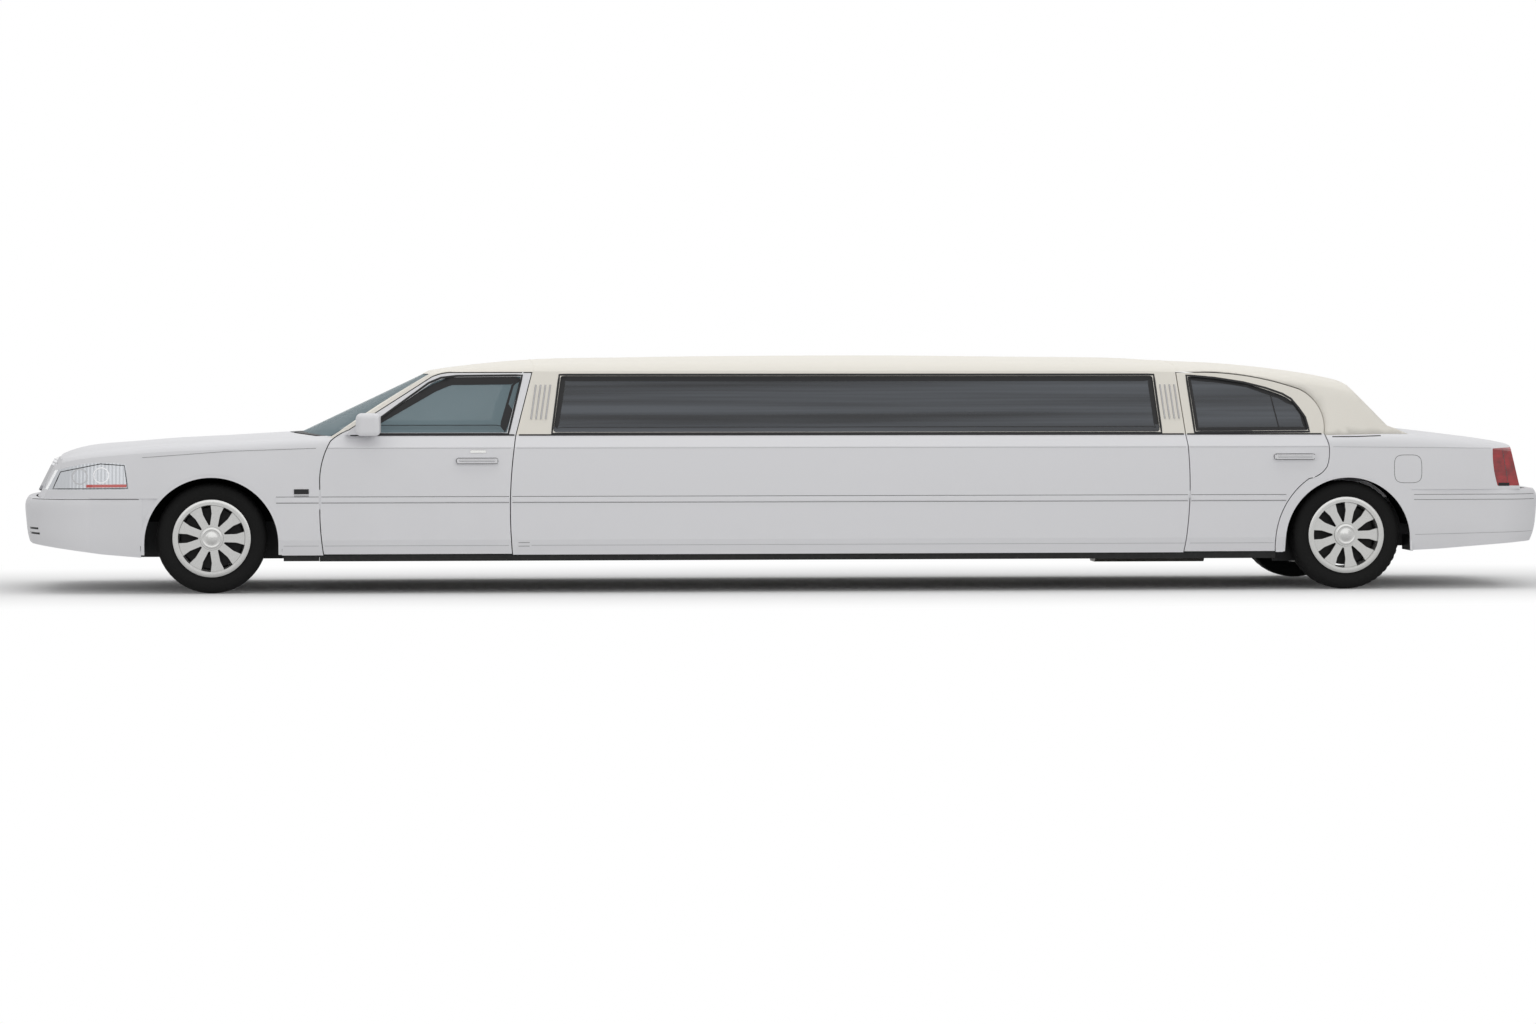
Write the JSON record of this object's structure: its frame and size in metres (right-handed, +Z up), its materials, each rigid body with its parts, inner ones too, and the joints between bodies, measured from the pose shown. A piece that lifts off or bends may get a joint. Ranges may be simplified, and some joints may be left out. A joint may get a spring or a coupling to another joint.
{
  "type": "stretch limousine",
  "caption": "White stretch limousine with a vinyl roof, dark lounge windows, spoked alloy wheels, opening doors, hood and trunk, and a steered front axle.",
  "frame": {"origin": "on the ground, under the middle of the car's length and width", "axes": "+X to the rear of the car, +Y to the car's right, +Z up"},
  "size_m": [9.5396, 2.254, 1.462],
  "materials": {
    "body_paint": "gloss white",
    "vinyl_roof": "grained ivory vinyl",
    "clear_glass": "lightly tinted",
    "dark_glass": "dark tinted",
    "bright_trim": "polished",
    "lamp_clear": "clear lens",
    "lamp_red": "red lens",
    "chassis_black": "satin black",
    "black_plastic": "grained black",
    "steel_pipe": "dull steel",
    "engine_grey": "cast grey",
    "alloy": "bright machined",
    "tyre": "black rubber",
    "leather": "black leather",
    "cabinet": "dark veneer"
  },
  "bodies": {
    "body": {"stretch_sides": "body_paint", "front_fenders": "body_paint", "nose_panel": "body_paint", "rear_quarters": "body_paint", "front_bumper": "body_paint", "rear_bumper": "body_paint", "roof": "vinyl_roof", "windshield": "clear_glass", "stretch_glass": "dark_glass", "rear_window": "dark_glass", "grille": "bright_trim", "headlamps": "lamp_clear", "tail_lamps": "lamp_red", "frame": "chassis_black", "firewall": "chassis_black", "rear_axle": "chassis_black", "front_suspension": "chassis_black", "drive_shaft": "chassis_black", "floor_pan": "chassis_black", "crossmembers": "chassis_black", "rockers": "chassis_black", "cowl": "black_plastic", "radiator": "black_plastic", "rear_bulkhead": "black_plastic", "dashboard": "black_plastic", "exhaust": "steel_pipe", "engine": "engine_grey", "front_seats": "leather", "lounge_seats": "leather", "partition": "cabinet", "bar_cabinet": "cabinet"},
    "knuckle_fl": {"knuckle_left": "chassis_black"},
    "knuckle_fr": {"knuckle_right": "chassis_black"},
    "wheel_fl": {"rim_front_left": "alloy", "tyre_front_left": "tyre"},
    "wheel_fr": {"rim_front_right": "alloy", "tyre_front_right": "tyre"},
    "wheel_rl": {"rim_rear_left": "alloy", "tyre_rear_left": "tyre"},
    "wheel_rr": {"rim_rear_right": "alloy", "tyre_rear_right": "tyre"},
    "front_door_l": {"door_front_left": "body_paint", "glass_front_left": "clear_glass", "mirror_left": "body_paint"},
    "front_door_r": {"door_front_right": "body_paint", "glass_front_right": "clear_glass", "mirror_right": "body_paint"},
    "rear_door_l": {"door_rear_left": "body_paint", "glass_rear_left": "dark_glass"},
    "rear_door_r": {"door_rear_right": "body_paint", "glass_rear_right": "dark_glass"},
    "hood": {"hood": "body_paint"},
    "trunk": {"trunk_lid": "body_paint"}
  },
  "joints": [
    {"name": "steer_left", "type": "hinge", "parent": "body", "child": "knuckle_fl", "pos_m": [-3.59, -0.735, 0.34], "axis": [0, 0, 1], "range_deg": [-32, 32]},
    {"name": "steer_right", "type": "hinge", "parent": "body", "child": "knuckle_fr", "pos_m": [-3.59, 0.735, 0.34], "axis": [0, 0, 1], "range_deg": [-32, 32]},
    {"name": "spin_front_left", "type": "hinge", "parent": "knuckle_fl", "child": "wheel_fl", "pos_m": [-3.59, -0.805, 0.34], "axis": [0, -1, 0], "continuous": true},
    {"name": "spin_front_right", "type": "hinge", "parent": "knuckle_fr", "child": "wheel_fr", "pos_m": [-3.59, 0.805, 0.34], "axis": [0, -1, 0], "continuous": true},
    {"name": "spin_rear_left", "type": "hinge", "parent": "body", "child": "wheel_rl", "pos_m": [3.47, -0.82, 0.34], "axis": [0, -1, 0], "continuous": true},
    {"name": "spin_rear_right", "type": "hinge", "parent": "body", "child": "wheel_rr", "pos_m": [3.47, 0.82, 0.34], "axis": [0, -1, 0], "continuous": true},
    {"name": "open_front_left", "type": "hinge", "parent": "body", "child": "front_door_l", "pos_m": [-2.9285, -0.993, 0.58], "axis": [0, 0, -1], "range_deg": [0, 62]},
    {"name": "open_front_right", "type": "hinge", "parent": "body", "child": "front_door_r", "pos_m": [-2.9285, 0.993, 0.58], "axis": [0, 0, 1], "range_deg": [0, 62]},
    {"name": "open_rear_left", "type": "hinge", "parent": "body", "child": "rear_door_l", "pos_m": [2.4676, -0.993, 0.6], "axis": [0, 0, -1], "range_deg": [0, 62]},
    {"name": "open_rear_right", "type": "hinge", "parent": "body", "child": "rear_door_r", "pos_m": [2.4676, 0.993, 0.6], "axis": [0, 0, 1], "range_deg": [0, 62]},
    {"name": "open_hood", "type": "hinge", "parent": "body", "child": "hood", "pos_m": [-2.976, 0, 0.949], "axis": [0, 1, 0], "range_deg": [0, 52]},
    {"name": "open_trunk", "type": "hinge", "parent": "body", "child": "trunk", "pos_m": [3.82, 0, 0.968], "axis": [0, -1, 0], "range_deg": [0, 70]}
  ],
  "couplings": [
    {"joint": "steer_right", "follows": "steer_left", "ratio": 1}
  ]
}
